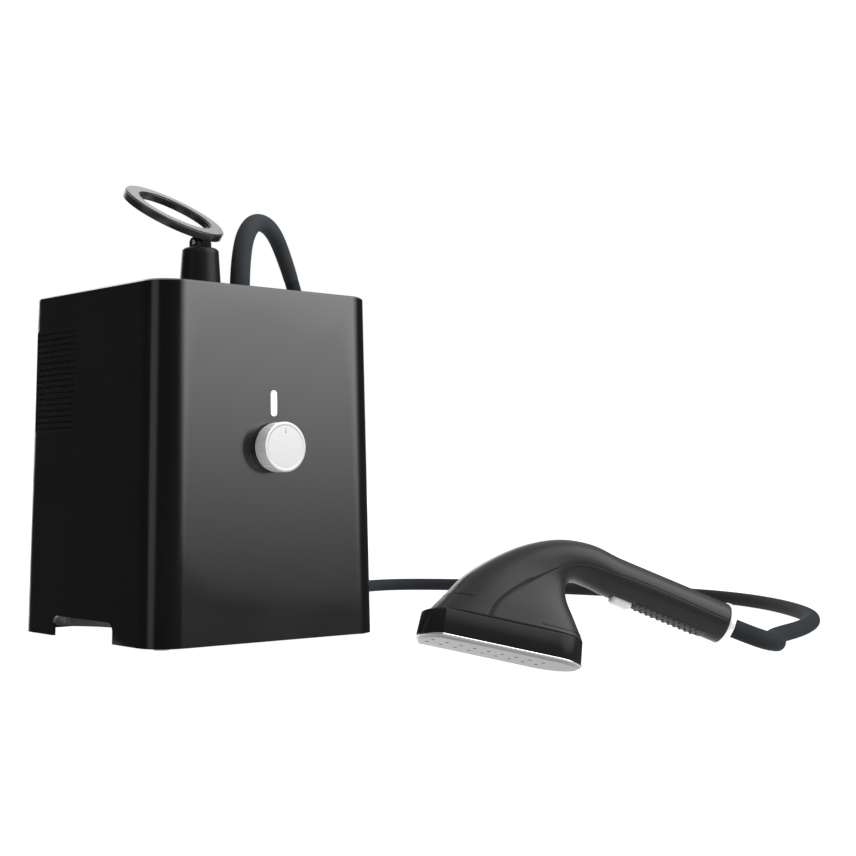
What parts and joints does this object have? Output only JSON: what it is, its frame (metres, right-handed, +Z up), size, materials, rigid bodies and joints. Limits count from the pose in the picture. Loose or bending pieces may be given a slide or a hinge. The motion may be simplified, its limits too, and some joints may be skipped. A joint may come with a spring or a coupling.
{
  "type": "garment steamer station",
  "caption": "Tabletop garment steamer: drafted black box with knob, rear water tank and tilting ring rest, joined by a flexible hose to a hook-shaped hand steamer.",
  "frame": {"origin": "middle of the box's footprint on the floor", "axes": "+Z up, the front with its knob looks along -Y, +X to the right seen from the front"},
  "size_m": [0.7928, 0.8401, 0.4365],
  "materials": {
    "housing_black": "satin black moulding",
    "plate_black": "plain black moulding",
    "foot_rubber": "pale grey soft pad",
    "plated_steel": "plated",
    "knob_metal": "polished, turned",
    "knob_satin": "circular satin brushing",
    "switch_plastic": "plain",
    "light_white": "milk-white lens",
    "tank_dark": "smoked",
    "cap_black": "soft stopper",
    "seal_rubber": "translucent silicone",
    "boiler_steel": "drawn steel",
    "valve_brass": "plain",
    "pump_grey": "plain",
    "steam_line": "drawn",
    "board_green": "bare circuit board",
    "post_spacer": "plain",
    "inlet_black": "plain",
    "post_black": "satin black",
    "ring_black": "black edge",
    "ring_satin": "satin facing",
    "guard_rubber": "smooth",
    "hose_grey": "smooth blue-grey sleeve",
    "vent_black": "perforated",
    "handset_grey": "satin dark grey",
    "band_black": "gloss black",
    "rim_chrome": "bright line",
    "sole_light": "fine satin",
    "chamber_cast": "cast",
    "trigger_light": "light grey",
    "grip_rubber": "soft nubs",
    "end_metal": "plain",
    "end_black": "plain"
  },
  "bodies": {
    "station": {"outer_shell": "housing_black", "base_plate": "plate_black", "foot_pads": "foot_rubber", "base_screws": "plated_steel", "rotary_switch": "switch_plastic", "switch_nut": "plated_steel", "light_bar": "light_white", "lamp_board": "switch_plastic", "tank_bay": "plate_black", "tank_probe": "boiler_steel", "boiler": "boiler_steel", "boiler_stand": "plate_black", "heater": "boiler_steel", "steam_valve": "valve_brass", "pump": "pump_grey", "pump_mount": "plate_black", "suction_tube": "seal_rubber", "feed_tube": "seal_rubber", "steam_tube": "steam_line", "board_posts": "post_spacer", "control_board": "board_green", "mains_inlet": "inlet_black", "post_collar": "housing_black", "rest_post": "post_black", "post_nut": "plate_black", "ring_pin": "plated_steel", "hose_gland": "housing_black", "bend_guard": "guard_rubber", "steam_hose": "hose_grey", "vent_grille_left": "vent_black", "vent_grille_right": "vent_black", "hose_ferrule": "end_black"},
    "knob": {"control_knob": "knob_metal", "knob_face": "knob_satin", "knob_shaft": "plated_steel"},
    "tank": {"water_tank": "tank_dark", "port_bush": "seal_rubber"},
    "cap": {"tank_cap": "cap_black"},
    "ring": {"rest_ring": "ring_black", "ring_face": "ring_satin"},
    "handset": {"front_shell": "handset_grey", "rear_shell": "handset_grey", "head_band": "band_black", "sole_rim": "rim_chrome", "sole_plate": "sole_light", "steam_chamber": "chamber_cast", "steam_pipe": "steam_line", "switch_carrier": "switch_plastic", "grip_pad": "grip_rubber", "end_ring": "end_metal", "swivel_bush": "end_black"},
    "trigger": {"trigger": "trigger_light"}
  },
  "joints": [
    {"name": "knob_turn", "type": "hinge", "parent": "station", "child": "knob", "pos_m": [0, -0.12195, 0.175], "axis": [0, 0.9998, -0.0175], "range_deg": [0, 270]},
    {"name": "tank_pull", "type": "slide", "parent": "station", "child": "tank", "axis": [0, 1, 0], "range_m": [0, 0.12]},
    {"name": "cap_lift", "type": "slide", "parent": "tank", "child": "cap", "axis": [0, 0, 1], "range_m": [0, 0.025]},
    {"name": "ring_tilt", "type": "hinge", "parent": "station", "child": "ring", "pos_m": [0, 0, 0.374], "axis": [0.9532, 0.3024, 0], "range_deg": [-31.8, 38.2]},
    {"name": "handset_swivel", "type": "hinge", "parent": "station", "child": "handset", "pos_m": [0.15933, -0.49697, 0.03357], "axis": [0.8262, -0.4189, -0.3766], "continuous": true},
    {"name": "trigger_press", "type": "slide", "parent": "handset", "child": "trigger", "axis": [0.4198, 0.0121, 0.9075], "range_m": [0, 0.003], "stiffness_N_per_m": 400, "springref_m": -0.002}
  ]
}
